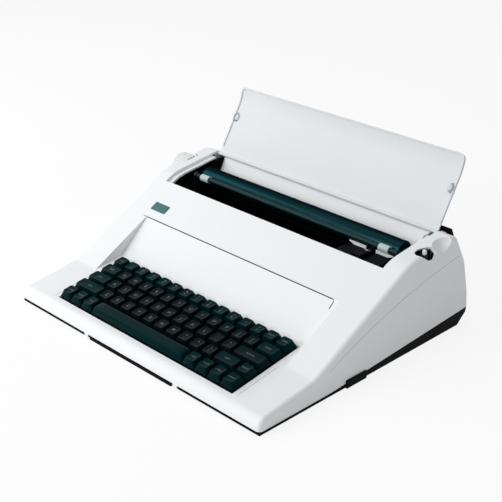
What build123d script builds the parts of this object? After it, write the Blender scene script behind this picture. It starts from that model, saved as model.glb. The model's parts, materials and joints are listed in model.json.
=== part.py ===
from build123d import *
from math import atan, cos, degrees, pi, radians, sin
import os

# Portable electronic typewriter with a daisy print wheel, standing with its paper lid open.
# Working frame: X to the right, Y from the front edge to the rear, Z up from the table. Millimetres.

WIDTH = 394.0            # case, side to side
DEPTH = 338.0            # case, front to rear at the base
REST_Y = 171.3           # the part's origin lies this far behind the front edge
REST_X = -4.6            # and this far from the middle of the keyboard, as the knob stands out at the left
SKIN = 3.0               # wall of the top cover
CHEEK_ROUND = 5.0        # rounding along the top edges of the two sides
PAN_INSET = 1.2          # the pan stands back from the cover by this much
PAN_LOW = 0.9            # underside of the base pan, on its rubber feet
PAN_FLOOR = 2.5          # thickness of its floor
NOSE = 12.0              # radius of the palm edge
PART_FRONT, PART_REAR = 5.4, 20.4    # height of the joint between cover and pan
PART_BEND = 105.0        # that joint runs level to here, then rises to the rear
SCREWS = [(-180, 66), (180, 66), (-180, 200), (180, 200), (-176, 310), (176, 310)]
FEET = [(-130, 14), (108, 14), (-150, 306), (150, 306)]
HANDLE = 70.4            # half width of the carrying handle
KEY_PITCH = 19.05        # standard key spacing, one key unit
KEY_UNITS = 15           # width of the keyboard in key units
KEY_ROWS = 5
KEY_HEIGHT = 8.6         # key tops above the deck round the keyboard
DECK_RISE = 0.15         # slope of the deck round the keyboard
KEYS_Y = 17.0            # front edge of the key field
PANEL_RISE = 0.5538      # slope of the sides and the panel above the keyboard
RECESS = 156.0           # half width of the recess behind the keys
PLATEN_Y, PLATEN_Z = 258.0, 95.5     # in the print unit's own layout
UNIT_Y, UNIT_Z = 6.0, 2.0            # the print unit is set into the case by this much
PLATEN_R = 12.5
WELL = 168.5             # half width of the opening over the platen
WELL_FRONT = 213.0
LEDGE = 175.0            # half width of the step that the closed lid lies in
LEDGE_FRONT = 209.0
LID = 173.0              # half width of the paper lid
LEDGE_DEPTH = 3.8        # drop of that step below the case's skin
RAIL_END = 288.0         # the step ends here, short of the hinge
LID_OPEN = 128.0         # swing of the lid between closed and open, degrees
HINGE_Y, HINGE_Z = 298.5, 115.6
VENT_FRONT, VENT_REAR = 306.2, 313.0     # slot of the vent strip behind the hinge
VENT_LEFT, VENT_RIGHT = -171.0, 186.0
PLATE_X = 163.0          # inner faces of the two side plates of the print unit
CARRIAGE_X = 125.0       # the carriage is parked at the right
ROD_Z = 46.0
FRONT_ROD_Y, REAR_ROD_Y = 214.0, 232.0
ROD_R = 4.0
BELT_Y, BELT_Z = 226.0, 33.0
PULLEY_X, PULLEY_R = 148.0, 8.0
FEED_Y, FEED_Z = PLATEN_Y + 12.6, PLATEN_Z - 12.6
BAIL_Y, BAIL_Z = 241.0, 100.5
BAIL_R = 3.0
BAIL_PIVOT_Y, BAIL_PIVOT_Z = 240.0, 80.0
GEAR_MODULE = 1.0
PLATEN_TEETH, IDLER_TEETH, PINION_TEETH = 22, 26, 12
GEAR_X = 178.0
SWITCH_X, SWITCH_Y, SWITCH_Z = -192.0, 290.0, 45.0
SWITCH_TIP = 8.0         # the rocker tips this far either way, degrees
FIT = 0.05               # radial clearance of a running shaft

os.makedirs("parts", exist_ok=True)

TILT = degrees(atan(DECK_RISE))
FIELD_W = KEY_UNITS * KEY_PITCH
FIELD_D = KEY_ROWS * KEY_PITCH


def deck_z(y):
    return 17.4 + DECK_RISE * y


CREASE_Y = 79.0
BROW_Y = 223.0
CREASE_Z = deck_z(CREASE_Y)
BROW_Z = CREASE_Z + PANEL_RISE * (BROW_Y - CREASE_Y)


def save(shape, name):
    export_step(Pos(-REST_X, -REST_Y, 0) * shape, f"parts/{name}.step")


def slab(sketch, x0, x1):
    """A side-view sketch (Y, Z) drawn out from x0 to x1."""
    return extrude(Plane.YZ.offset(x0) * sketch, amount=x1 - x0, dir=(1, 0, 0))


def outline(*points, rounds=None):
    """A closed side-view outline; rounds gives the radius at a numbered corner."""
    sketch = Polygon(*points, align=None)
    for index, radius in (rounds or {}).items():
        corner = sketch.vertices().sort_by_distance((*points[index], 0))[0]
        sketch = fillet(corner, radius)
    return sketch


def block(x0, x1, y0, y1, z0, z1):
    return Pos((x0 + x1) / 2, (y0 + y1) / 2, (z0 + z1) / 2) * Box(x1 - x0, y1 - y0, z1 - z0)


def bar_x(radius, x0, x1, y, z):
    return Pos((x0 + x1) / 2, y, z) * Rot(0, 90, 0) * Cylinder(radius, x1 - x0)


def bar_y(radius, y0, y1, x, z):
    return Pos(x, (y0 + y1) / 2, z) * Rot(90, 0, 0) * Cylinder(radius, y1 - y0)


def bar_z(radius, z0, z1, x, y):
    return Pos(x, y, (z0 + z1) / 2) * Cylinder(radius, z1 - z0)


def both_sides(shape):
    return [shape, mirror(shape, Plane.YZ)]


def case_sketch():
    """Side view of the whole case: palm edge, deck, sloping panel, flat top, bowed rear wall."""
    return outline(
        (1, -20), (1, deck_z(1)), (CREASE_Y, CREASE_Z), (BROW_Y, BROW_Z), (296, 118.6),
        (305, 115), (323.5, 82), (334.5, 40), (DEPTH, 12), (DEPTH, -20),
        rounds={1: NOSE, 2: 10, 3: 60, 4: 8, 5: 8, 6: 60, 7: 60},
    )


def case_mass(inset):
    """The case as one solid, drawn in by the given inset."""
    sketch = case_sketch()
    if inset:
        sketch = offset(sketch, -inset)
    return slab(sketch, inset - WIDTH / 2, WIDTH / 2 - inset)


def rounded_case():
    """The outside of the case, rounded along the top and rear edges of its two sides."""
    mass = case_mass(0)
    sides = mass.faces().filter_by(Axis.X)
    edges = [e for side in sides for e in side.edges() if e.center().Y > 3 and e.center().Z > 14]
    return fillet(edges, CHEEK_ROUND)


def shoulder_grooves():
    """Fine groove that rises along each side wall under the cheek."""
    line = trace(ThreePointArc((101, 31.7), (226.6, 75.5), (311, 91.3)), 0.9)
    return both_sides(slab(line, WIDTH / 2 - 0.8, WIDTH / 2 + 1))


PANEL_TOP = 73.4         # height of the upper edge of the panel behind the keys


def recess_mass(grow):
    """The space over the keys: the deck runs on under the cheeks, then a steep panel climbs back."""
    foot = 119 + grow
    sketch = outline(
        (40, deck_z(40) - grow), (foot, deck_z(foot) - grow), (161 + grow, PANEL_TOP - grow),
        (161 + grow, 130), (40, 130), rounds={1: 5},
    )
    return slab(sketch, -RECESS - grow, RECESS + grow)


KNOB_R = 18.5
KNOB_IN, KNOB_OUT = -187.0, -208.0
AXIS_Y, AXIS_Z = PLATEN_Y + UNIT_Y, PLATEN_Z + UNIT_Z    # the platen's axis in the case


def knob_pocket(grow):
    return bar_x(KNOB_R + 2.0 + grow, -WIDTH / 2 - 5, KNOB_IN + 1 + grow, AXIS_Y, AXIS_Z)


def finger_scoop(grow):
    """Hollow in the right shoulder behind the release lever."""
    return Pos(202, 278, 122) * Sphere(17.5 + grow)


def lever_hole():
    """Oval gap over the rounded edge of the right shoulder, square to the edge."""
    oval = Rot(0, 0, -15) * Ellipse(8.0, 12.5)
    return Pos(191.5, 254.5, 110.5) * Rot(0, 35, 0) * extrude(oval, amount=11, both=True)


def panel_seam():
    """Hairline seam along the top of the panel behind the keys, turned down at its right end."""
    slope = degrees(atan((PANEL_TOP - deck_z(119)) / (161 - 119)))
    right, tall, line = 149.0, 60.0, 1.2
    outer = RectangleRounded(2 * right, tall, 4)
    band = outer - offset(outer, -line)
    band &= Pos(0, tall / 2) * Rectangle(2 * right, 2 * line) + Pos(right, tall / 2) * Rectangle(2 * line, 24)
    band += Pos(-right - 2, tall / 2 - line / 2) * Rectangle(20, line)
    lay = Pos(0, 161, PANEL_TOP) * Rot(slope, 0, 0) * Pos(0, 0.1 - tall / 2, 0)
    return lay * extrude(band, amount=1.6, both=True)


def below_parting(drop):
    """Side view of everything under the joint between cover and pan."""
    return outline(
        (-5, PART_FRONT - drop), (PART_BEND, PART_FRONT + 0.3 - drop), (DEPTH + 2, PART_REAR - drop),
        (DEPTH + 2, -40), (-5, -40), rounds={1: 400},
    )


def skin_strip(top, low):
    """Side view of the layer of the case between two depths below its surface."""
    upper = offset(case_sketch(), -top) if top else case_sketch()
    return upper - offset(case_sketch(), -low)


def well_frame():
    """Thick rim under the skin round the front and sides of the well, for the lid to lie in."""
    reach = LEDGE + 2
    return slab(skin_strip(0, 6.6), -reach, reach) & block(-reach, reach, LEDGE_FRONT - 3, RAIL_END, 80, 130)


def top_cover():
    inner = case_mass(SKIN) - recess_mass(SKIN) - knob_pocket(SKIN) - finger_scoop(SKIN) - well_frame()
    cover = rounded_case() - recess_mass(0) - knob_pocket(0) - finger_scoop(0) - inner
    cover -= slab(below_parting(0), -220, 220)
    # opening for the keys, square to the sloping deck
    keys = Pos(0, KEYS_Y, deck_z(KEYS_Y)) * Rot(TILT, 0, 0) * (
        Pos(0, FIELD_D / 2, 0) * Box(FIELD_W + 3, FIELD_D + 3, 30)
    )
    cover -= keys
    # opening over the platen with a step round it that takes the lid
    step = slab(skin_strip(0, LEDGE_DEPTH), -LEDGE, LEDGE)
    cover -= step & block(-LEDGE, LEDGE, LEDGE_FRONT, 304.2, 90, 130)
    cover -= block(-WELL, WELL, WELL_FRONT, 301.5, 80, 130)
    cover -= bar_x(2.6, -LEDGE, LEDGE, HINGE_Y, HINGE_Z)
    # ears under the cheeks that hold the lid's hinge pins
    for ear in both_sides(block(LEDGE + 0.4, LEDGE + 7, 293, 303, 108, HINGE_Z + 1)):
        cover += ear
    cover -= bar_x(1.5 + FIT, -LEDGE - 5, LEDGE + 5, HINGE_Y, HINGE_Z)
    # clearance hole for the platen shaft in the floor of the knob's pocket
    cover -= bar_x(4.8, -190, -178, AXIS_Y, AXIS_Z)
    cover -= lever_hole()
    cover -= panel_seam()
    cover -= shoulder_grooves()
    # a lug each side of the carrying handle
    for lug in both_sides(block(HANDLE + 0.6, HANDLE + 7, 1, 1 + SKIN, PAN_LOW + 0.2, PART_FRONT + 0.4)):
        cover += lug
    # slot for the vent strip along the rear edge
    cover -= block(VENT_LEFT, VENT_RIGHT, VENT_FRONT, VENT_REAR, 95, 125)
    # switch and inlet cut-outs in the left side, near the rear
    cover -= block(-200, -190, SWITCH_Y - 7, SWITCH_Y + 7, SWITCH_Z - 11, SWITCH_Z + 11)
    cover -= block(-200, -190, 300, 322, 32, 56)
    return cover


def pan_side(inset):
    """Side view of the pan's outside, or of its hollow when drawn in, with the rear corner cut off."""
    front, rear = 1 + PAN_INSET + inset, DEPTH - 2 - inset
    low = PAN_LOW + PAN_FLOOR * inset / SKIN
    return outline((front, 60), (front, low), (320 - inset, low), (rear - 2, 13), (rear, 22), (rear, 60))


def base_pan():
    half = WIDTH / 2 - PAN_INSET
    pan = slab(pan_side(0) & below_parting(0.3), -half, half)
    pan -= slab(pan_side(SKIN), SKIN - half, half - SKIN)
    floor = PAN_LOW + PAN_FLOOR - 0.5
    # stiffening ribs across the floor, under the board, the transformer and the print unit
    for y in (128, 150, 172, 194):
        pan += block(-150, 80, y, y + 1.6, floor, 8.6)
    for y in (153, 171):
        pan += block(92, 160, y, y + 1.6, floor, 6.9)
    for y in (212, 250, 288):
        pan += block(-160, 160, y, y + 1.6, floor, 9.4)
    # raised bay in the front that the carrying handle slides into, with a lip along each side
    pan += block(-HANDLE - 4, HANDLE + 4, 4.4, 50, PAN_LOW, 7.0)
    pan -= block(-HANDLE - 7.4, HANDLE + 7.4, -2, 4.4, 0, 5.4)
    pan -= block(-HANDLE - 0.5, HANDLE + 0.5, -2, 47, 2.6, 5.4)
    pan -= block(1.5 - HANDLE, HANDLE - 1.5, -2, 47, 0, 3)
    # pillars for the case screws
    for x, y in SCREWS:
        pan += bar_z(4.5, floor, 20, x, y)
    for x, y in SCREWS:
        pan -= bar_z(1.8, 0, 30, x, y)
        pan -= bar_z(3.6, 0, PAN_LOW + 2, x, y)
    return pan


def rubber_feet():
    feet = []
    for x, y in FEET:
        foot = Pos(x, y, 0) * Cone(7.6, 9, PAN_LOW, align=(Align.CENTER, Align.CENTER, Align.MIN))
        feet.append(foot)
    return Compound(feet)


def case_screws():
    screws = []
    for x, y in SCREWS:
        head = bar_z(3.3, PAN_LOW + 0.2, PAN_LOW + 2, x, y) - Pos(x, y, PAN_LOW) * Box(4.6, 0.9, 2)
        screws.append(head + bar_z(1.8, PAN_LOW + 2, 13, x, y))
    return Compound(screws)


def side_catches():
    tab = block(WIDTH / 2 - 0.2, WIDTH / 2 + 1.6, 126, 158, PAN_LOW + 0.3, 10.8)
    tab = fillet(tab.edges().filter_by(Axis.X), 1.5)
    return Compound(both_sides(Pos(0.2, 0, 0) * tab))


def carry_handle():
    """A flat bow that lies under the front of the pan, held by its side flanges, and draws out forwards."""
    bow = block(-HANDLE, HANDLE, 0.6, 44, 3.0, 5.0) + block(2 - HANDLE, HANDLE - 2, 0.6, 44, 0.5, 3.4)
    grip = block(-52, 52, 9, 36, 0, 20)
    bow -= fillet(grip.edges().filter_by(Axis.Z), 6)
    return fillet(bow.edges().filter_by(Axis.Z).group_by(Axis.Y)[0], 1.0)


def lid_plan(inset):
    """Plan of the lid, round at its two free corners, as a tall block."""
    front, rear = LEDGE_FRONT + 1.5 + inset, HINGE_Y + 40
    plan = Pos(0, (front + rear) / 2) * RectangleRounded(2 * (LID - inset), rear - front, 5)
    return Pos(0, 0, 80) * extrude(plan, amount=60)


def lid_closed():
    """A strip of the case's own skin over the platen, with a rim inside and a knuckle at the rear."""
    sheet = slab(skin_strip(0, 2.0), -LID, LID) & lid_plan(0)
    sheet &= block(-LID, LID, LEDGE_FRONT, HINGE_Y, 80, 130)
    rim = slab(skin_strip(1.9, LEDGE_DEPTH - 0.4), -LID, LID) & lid_plan(0)
    rim = (rim - lid_plan(1.8)) & block(-LID, LID, LEDGE_FRONT, RAIL_END, 80, 130)
    knuckle = bar_x(2.0, -LID, LID, HINGE_Y, HINGE_Z)
    return sheet + rim + knuckle


def swing(shape, angle):
    """Turn a piece about the lid's hinge line; positive closes the lid."""
    return Pos(0, HINGE_Y, HINGE_Z) * Rot(angle, 0, 0) * Pos(0, -HINGE_Y, -HINGE_Z) * shape


def paper_lid():
    lid = lid_closed()
    # a hinge pin and a small stop on each side edge
    for pin in both_sides(bar_x(1.5, LID - 2, LEDGE + 4.5, HINGE_Y, HINGE_Z)):
        lid += pin
    for stop in both_sides(bar_x(1.0, LID - 2, LID + 1.2, 252, 111.4)):
        lid += stop
    return swing(lid, -LID_OPEN)


def vent_strip():
    """Dark slotted strip that stands up along the rear edge of the cover."""
    profile = outline(
        (306.5, 104), (306.5, 119.6), (308.0, 121.2), (312.7, 111.6), (312.7, 98), rounds={1: 0.7, 2: 0.7}
    )
    strip = slab(profile, VENT_LEFT + 0.2, VENT_RIGHT - 0.2)
    strip -= slab(offset(profile, -1.4), VENT_LEFT + 1.6, VENT_RIGHT - 1.6)
    pitch = (VENT_RIGHT - VENT_LEFT) / 23
    for i in range(23):
        middle = VENT_LEFT + (i + 0.5) * pitch
        strip -= block(middle - 5.5, middle + 5.5, 309, 315, 98, 112)
    return strip


def paper_chute():
    """Plate in line with the open lid that leads the sheet behind the platen, its lower corners cut off."""
    profile = outline(
        (287.4, 91.0), (298.2, 111.6), (301.2, 113.2), (302.6, 113.2), (302.6, 111.2), (299.6, 110.6),
        (288.9, 90.2),
    )
    plate = slab(profile, -PLATE_X, PLATE_X)
    for corner in both_sides(Pos(PLATE_X, 288, 90) * Rot(0, 45, 0) * Box(9, 14, 9)):
        plate -= corner
    return plate


def key_plane(shape):
    """Move a piece drawn in the key field (X, along the slope, up) onto the sloping deck."""
    return Pos(0, KEYS_Y, deck_z(KEYS_Y)) * Rot(TILT, 0, 0) * shape


def key_cap(u, row, wide=1.0):
    """One key: a tapered cap with a dished top on a square stem. u is its left edge in key units."""
    x = (u + wide / 2) * KEY_PITCH - FIELD_W / 2
    y = (row + 0.5) * KEY_PITCH
    w = wide * KEY_PITCH - 0.9
    d = KEY_PITCH - 0.9
    foot = Pos(x, y, 1.0) * Rectangle(w, d)
    head = Pos(x, y + 0.6, KEY_HEIGHT) * Rectangle(w - 5.0, d - 4.6)
    cap = loft([foot, head])
    if wide < 3:
        cap -= bar_y(30, y - 12, y + 12, x, KEY_HEIGHT + 29.1)
    return cap + Pos(x, y, -1.8) * Box(4, 4, 6.4)


def stem_spots():
    spots = []
    for keys in KEY_NODES.values():
        for u, row, wide in keys:
            spots.append(((u + wide / 2) * KEY_PITCH - FIELD_W / 2, (row + 0.5) * KEY_PITCH))
    return spots


def row_of(start, count, row):
    return [(start + i, row, 1.0) for i in range(count)]


# key groups: left edge in key units, row from the front, width in key units
KEY_NODES = {
    "space_bar": [(3, 0, 8.0)],
    "left_front_keys": row_of(0, 3, 0),
    "right_front_keys": row_of(11, 4, 0),
    "left_shift_key": [(0, 1, 2.25)],
    "lower_letter_keys": row_of(2.25, 10, 1),
    "right_shift_key": [(12.25, 1, 1.75)],
    "relocate_key": [(14, 1, 1.0)],
    "shift_lock_key": [(0, 2, 1.75)],
    "home_letter_keys": row_of(1.75, 11, 2),
    "return_key": [(12.75, 2, 2.25)],
    "tab_key": [(0, 3, 1.5)],
    "upper_letter_keys": row_of(1.5, 12, 3),
    "index_key": [(13.5, 3, 1.5)],
    "margin_key": [(0, 4, 1.0)],
    "number_row_keys": row_of(1, 12, 4),
    "backspace_key": [(13, 4, 1.0)],
    "correction_key": [(14, 4, 1.0)],
}


def key_frame():
    plate = Pos(0, FIELD_D / 2, -4.6) * Box(FIELD_W + 8, FIELD_D + 7, 2)
    rim = Pos(0, FIELD_D / 2, -7.8) * (Box(FIELD_W + 8, FIELD_D + 7, 4.8) - Box(FIELD_W + 4, FIELD_D + 3, 6))
    plate += rim
    holes = [Pos(x, y, -4.6) * Box(4.9, 4.9, 4) for x, y in stem_spots()]
    return key_plane(plate - holes)


def keyboard_board():
    board = Pos(0, FIELD_D / 2, -9.7) * Box(FIELD_W + 3, FIELD_D + 2, 1.6)
    return key_plane(board)


def side_plate(sign):
    """Sheet steel end plate of the print unit, with the bearings and pivots in it."""
    sketch = outline(
        (206, 9.6), (206, 58), (226, 92), (240, 98), (268, 102), (280, 110), (297, 110), (297, 68),
        (297, 9.6),
        rounds={2: 10, 3: 6, 4: 6, 7: 10},
    )
    plate = slab(sketch, PLATE_X, PLATE_X + 2)
    plate -= bar_x(4 + FIT, 150, 180, PLATEN_Y, PLATEN_Z)
    plate -= bar_x(2.5 + FIT, 150, 180, FEED_Y, FEED_Z)
    plate -= bar_x(2.0 + FIT, 150, 180, BAIL_PIVOT_Y, BAIL_PIVOT_Z)
    plate -= fillet(block(150, 180, 262, 290, 24, 52).edges().filter_by(Axis.X), 5)
    if sign > 0:
        plate += bar_x(2.0, PLATE_X + 1, 191.5, PLATEN_Y, IDLER_Z)
        return plate
    return mirror(plate, Plane.YZ)


def chassis_tray():
    """Tray of the print unit: floor, turned-up front edge and the post of the belt's idler."""
    tray = block(-PLATE_X - 2, PLATE_X + 2, 204, 299, 7.6, 9.6)
    tray += block(-PLATE_X - 2, PLATE_X + 2, 203, 204.6, 7.6, 30)
    tray += bar_z(2.0, 9, BELT_Z + 6, -PULLEY_X, BELT_Y)
    return tray + bar_z(5, 9, BELT_Z - 5, -PULLEY_X, BELT_Y)


def guide_rods():
    rods = [bar_x(ROD_R, -PLATE_X, PLATE_X, y, ROD_Z) for y in (FRONT_ROD_Y, REAR_ROD_Y)]
    return Compound(rods)


IDLER_Z = PLATEN_Z - GEAR_MODULE * (PLATEN_TEETH + IDLER_TEETH) / 2 - 0.1
PINION_Z = IDLER_Z - GEAR_MODULE * (IDLER_TEETH + PINION_TEETH) / 2 - 0.1


def gear(teeth, width, bore, phase):
    """Spur gear round the X axis, one tooth space turned to the given angle."""
    pitch = GEAR_MODULE * teeth / 2
    root = pitch - 1.25 * GEAR_MODULE
    tip = pitch + 0.75 * GEAR_MODULE
    step = 2 * pi / teeth
    wide, narrow = 0.24 * step, 0.11 * step
    points = []
    for i in range(teeth):
        centre = radians(phase) + i * step
        for radius, angle in ((root, -wide), (tip, -narrow), (tip, narrow), (root, wide)):
            points.append((radius * cos(centre + angle), radius * sin(centre + angle)))
    wheel = slab(Polygon(*points, align=None), 0, width)
    return wheel - bar_x(bore, -5, width + 5, 0, 0) if bore else wheel


def platen_roller():
    roller = bar_x(PLATEN_R, -157, 157, PLATEN_Y, PLATEN_Z)
    return chamfer(roller.edges(), 0.8) - bar_x(4, -160, 160, PLATEN_Y, PLATEN_Z)


def platen_shaft():
    return bar_x(4, KNOB_IN - 6, GEAR_X + 7, PLATEN_Y, PLATEN_Z)


def platen_gear():
    return Pos(GEAR_X, PLATEN_Y, PLATEN_Z) * gear(PLATEN_TEETH, 6, 4, -90)


def idler_gear():
    return Pos(GEAR_X, PLATEN_Y, IDLER_Z) * gear(IDLER_TEETH, 6, 2 + FIT, 90 + 180 / IDLER_TEETH)


def motor_pinion():
    wheel = gear(PINION_TEETH, 6, 0, 90 + (0 if IDLER_TEETH % 4 == 2 else 180 / PINION_TEETH))
    return Pos(GEAR_X, PLATEN_Y, PINION_Z) * (wheel + bar_x(1.5, -9, 1, 0, 0))


def feed_motor():
    can = bar_x(14, PLATE_X + 2, GEAR_X - 2, PLATEN_Y, PINION_Z)
    can += bar_x(5, GEAR_X - 3, GEAR_X - 1, PLATEN_Y, PINION_Z)
    can += block(PLATE_X + 2, PLATE_X + 4, PLATEN_Y - 20, PLATEN_Y + 20, PINION_Z - 5, PINION_Z + 5)
    return can - bar_x(1.5 + FIT, GEAR_X - 10, GEAR_X, PLATEN_Y, PINION_Z)


def left_knob():
    """Ribbed knob in the pocket of the left side, pressed on the platen shaft."""
    disc = Circle(KNOB_R)
    for i in range(24):
        disc -= Rot(0, 0, i * 15) * Pos(KNOB_R + 0.4, 0) * Circle(1.3)
    knob = Pos(KNOB_OUT, PLATEN_Y, PLATEN_Z) * slab(disc, 0, KNOB_IN - KNOB_OUT)
    knob -= bar_x(15, KNOB_OUT - 3, KNOB_OUT + 4, PLATEN_Y, PLATEN_Z)
    return knob - bar_x(4, KNOB_IN - 6, -180, PLATEN_Y, PLATEN_Z)


FEED_SPOTS = (-110, -40, 40, 110)


def feed_rollers():
    shaft = bar_x(2.5, -PLATE_X - 1.5, PLATE_X + 1.5, FEED_Y, FEED_Z)
    for x in FEED_SPOTS:
        shaft += bar_x(5, x - 14, x + 14, FEED_Y, FEED_Z)
    return shaft


def paper_pan():
    """Curved sheet that guides the paper under the platen, slotted for the feed rollers."""
    ring = Circle(PLATEN_R + 3.4) - Circle(PLATEN_R + 2.2)
    ring -= Pos(0, 30) * Rectangle(80, 60)
    ring -= Pos(-20, 0) * Rectangle(28, 60)
    pan = Pos(0, PLATEN_Y, PLATEN_Z) * slab(ring, -PLATE_X, PLATE_X)
    pan -= bar_x(3.2, -PLATE_X, PLATE_X, FEED_Y, FEED_Z)
    for x in FEED_SPOTS:
        pan -= block(x - 15.5, x + 15.5, FEED_Y - 8, FEED_Y + 8, FEED_Z - 9, FEED_Z + 9)
    return pan


def bail_bar():
    """Paper bail: a rod in front of the platen on two swinging arms."""
    bar = bar_x(BAIL_R, -160, 160, BAIL_Y, BAIL_Z)
    arm = slab(bail_arm(), 158.5, 161.5) + bar_x(2.0, 160, 164.8, BAIL_PIVOT_Y, BAIL_PIVOT_Z)
    for side in both_sides(arm):
        bar += side
    return bar


def bail_arm():
    arm = Pos(BAIL_PIVOT_Y, BAIL_PIVOT_Z) * Circle(4.5) + Pos(BAIL_Y, BAIL_Z) * Circle(BAIL_R + 1.2)
    return arm + outline(
        (BAIL_PIVOT_Y - 3.5, BAIL_PIVOT_Z), (BAIL_PIVOT_Y + 3.5, BAIL_PIVOT_Z),
        (BAIL_Y + 2.8, BAIL_Z), (BAIL_Y - 2.8, BAIL_Z),
    )


def bail_rollers():
    tyre = bar_x(4.4, 136, 150, BAIL_Y, BAIL_Z) - bar_x(BAIL_R + FIT, 130, 160, BAIL_Y, BAIL_Z)
    return Compound(both_sides(tyre))


def release_lever():
    """Flat lever on the idler's stud; its tip stands in the oval gap of the right shoulder."""
    arm = Pos(PLATEN_Y, IDLER_Z) * Circle(5)
    arm += outline(
        (PLATEN_Y - 3.4, IDLER_Z), (PLATEN_Y + 3.4, IDLER_Z), (252.8, 103), (252.2, 111.2), (248.2, 111.4),
        (248.4, 102), rounds={3: 1.8, 4: 1.8},
    )
    return slab(arm, 187.4, 190.6) - bar_x(2 + FIT, 180, 200, PLATEN_Y, IDLER_Z)


def carriage_frame():
    """Moulded carriage: bearing block on the rods, wheel plate and belt grip."""
    x = CARRIAGE_X
    frame = block(x - 32, x + 32, 208, 238, 40.5, 52)
    frame -= block(x - 20, x + 20, 220, 226, 38, 54)
    frame += block(x - 32, x - 29, 210, 238, 50, 84)
    frame += block(x + 29, x + 32, 210, 238, 50, 84)
    frame += block(x - 32, x + 32, 208.5, 211, 50, 84)
    for y in (BELT_Y - PULLEY_R - 3.4, BELT_Y - PULLEY_R + 1.2):
        frame += block(x - 10, x + 10, y, y + 1.8, BELT_Z - 4, 42)
    for y in (FRONT_ROD_Y, REAR_ROD_Y):
        frame -= bar_x(ROD_R + FIT, x - 40, x + 40, y, ROD_Z)
    return frame


WHEEL_Z = 64.5


def wheel_motor():
    motor = bar_y(12, 217, 238.5, CARRIAGE_X, WHEEL_Z) + bar_y(4, 238, 239.2, CARRIAGE_X, WHEEL_Z)
    motor += block(CARRIAGE_X - 29, CARRIAGE_X + 29, 224, 226, WHEEL_Z - 10, WHEEL_Z + 10)
    return motor - bar_y(1.5 + FIT, 230, 241, CARRIAGE_X, WHEEL_Z)


def print_wheel():
    """Daisy wheel: a hub with spokes, each ending in a type slug."""
    petals = 48
    disc = Circle(11)
    for i in range(petals):
        disc += Rot(0, 0, i * 360 / petals) * Pos(19, 0) * Rectangle(20, 1.1)
        disc += Rot(0, 0, i * 360 / petals) * Pos(29.2, 0) * Rectangle(3.4, 2.6)
    wheel = extrude(Plane.XZ * disc, amount=0.9)
    wheel += bar_y(5, -4, 0, 0, 0) + bar_y(1.5, -9, 0, 0, 0)
    return Pos(CARRIAGE_X, 243.6, WHEEL_Z) * wheel


def print_hammer():
    hammer = bar_y(2.0, 226, 240.2, CARRIAGE_X, WHEEL_Z + 29)
    return hammer + bar_y(3.4, 229.5, 232, CARRIAGE_X, WHEEL_Z + 29)


def hammer_coil():
    z = WHEEL_Z + 29
    coil = block(CARRIAGE_X - 6, CARRIAGE_X + 6, 213, 229, z - 6, z + 3.4)
    coil += block(CARRIAGE_X - 4, CARRIAGE_X + 4, 212, 216, 76.5, z - 5)
    return coil - bar_y(2.0 + FIT, 222, 232, CARRIAGE_X, z)


def ribbon_cassette():
    """Flat ribbon case over the carriage, with a gap in the middle for the hammer."""
    x = CARRIAGE_X
    case = block(x - 31, x + 31, 211.5, 239, 84.4, 92.4)
    case = fillet(case.edges().filter_by(Axis.Z), 4)
    case -= block(x - 9, x + 9, 210.5, 242, 80, 96)
    halves = case.solids()
    return Compound(list(halves))


def card_guide():
    """Two milky wedges on the carriage, points outwards, that hold a card against the platen."""
    x = CARRIAGE_X
    shape = Polygon(
        (x - 31, 94.4), (x - 31, 95.6), (x - 7, 95.6), (x - 7, 78), (x - 13, 78), (x - 13, 88), align=None
    )
    left = extrude(Plane.XZ.offset(-239.4) * shape, amount=1.6, dir=(0, 1, 0))
    return Compound([left, mirror(left, Plane.YZ.offset(x))])


def pulley(x):
    wheel = bar_z(PULLEY_R - 0.1, BELT_Z - 3.2, BELT_Z + 3.2, x, BELT_Y)
    for z in (BELT_Z - 4.4, BELT_Z + 3.4):
        wheel += bar_z(PULLEY_R + 1.6, z, z + 1, x, BELT_Y)
    return wheel + bar_z(4, BELT_Z - 4.4, BELT_Z + 4.4, x, BELT_Y)


def drive_pulley():
    return pulley(PULLEY_X) + bar_z(1.5, 16, BELT_Z, PULLEY_X, BELT_Y)


def belt_idler():
    return pulley(-PULLEY_X) - bar_z(2.0 + FIT, 20, 50, -PULLEY_X, BELT_Y)


def drive_motor():
    motor = bar_z(13, 9.6, BELT_Z - 6, PULLEY_X, BELT_Y)
    return motor - bar_z(1.5 + FIT, 14, 40, PULLEY_X, BELT_Y)


def carriage_belt():
    def loop(radius):
        return SlotCenterToCenter(2 * PULLEY_X, 2 * radius)
    ring = loop(PULLEY_R + 1.3) - loop(PULLEY_R)
    return Pos(0, BELT_Y, BELT_Z - 2.8) * extrude(ring, amount=5.6)


def main_board():
    board = block(-146, 76, 126, 198, 8.8, 10.4)
    # chips and a regulator, as middle, width, depth and height
    parts = (
        (-110, 150, 44, 14, 4), (-40, 150, 36, 14, 4), (20, 168, 28, 12, 4), (-90, 180, 24, 10, 12),
        (50, 140, 16, 16, 18),
    )
    for x, y, w, d, h in parts:
        board += block(x - w / 2, x + w / 2, y - d / 2, y + d / 2, 10, 10.4 + h)
    return board


def transformer():
    core = block(100, 152, 140, 186, 8, 46) - block(106, 146, 138, 188, 14, 40)
    coil = fillet(block(106, 146, 134, 192, 14, 40).edges().filter_by(Axis.X), 4)
    return core + coil + block(92, 160, 150, 176, 7, 9)


def power_switch():
    """Rocker in the left side, tipped to off about its pin."""
    rocker = Polygon((-1.2, 10), (0.4, 0), (-1.2, -10), (3, -10), (7, -4), (7, 4), (3, 10), align=None)
    key = extrude(Plane.XZ * rocker, amount=6, both=True) - bar_y(1.5 + FIT, -10, 10, 4, 0)
    return Pos(SWITCH_X, SWITCH_Y, SWITCH_Z) * Rot(0, -SWITCH_TIP, 0) * Pos(-4, 0, 0) * key


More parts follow.
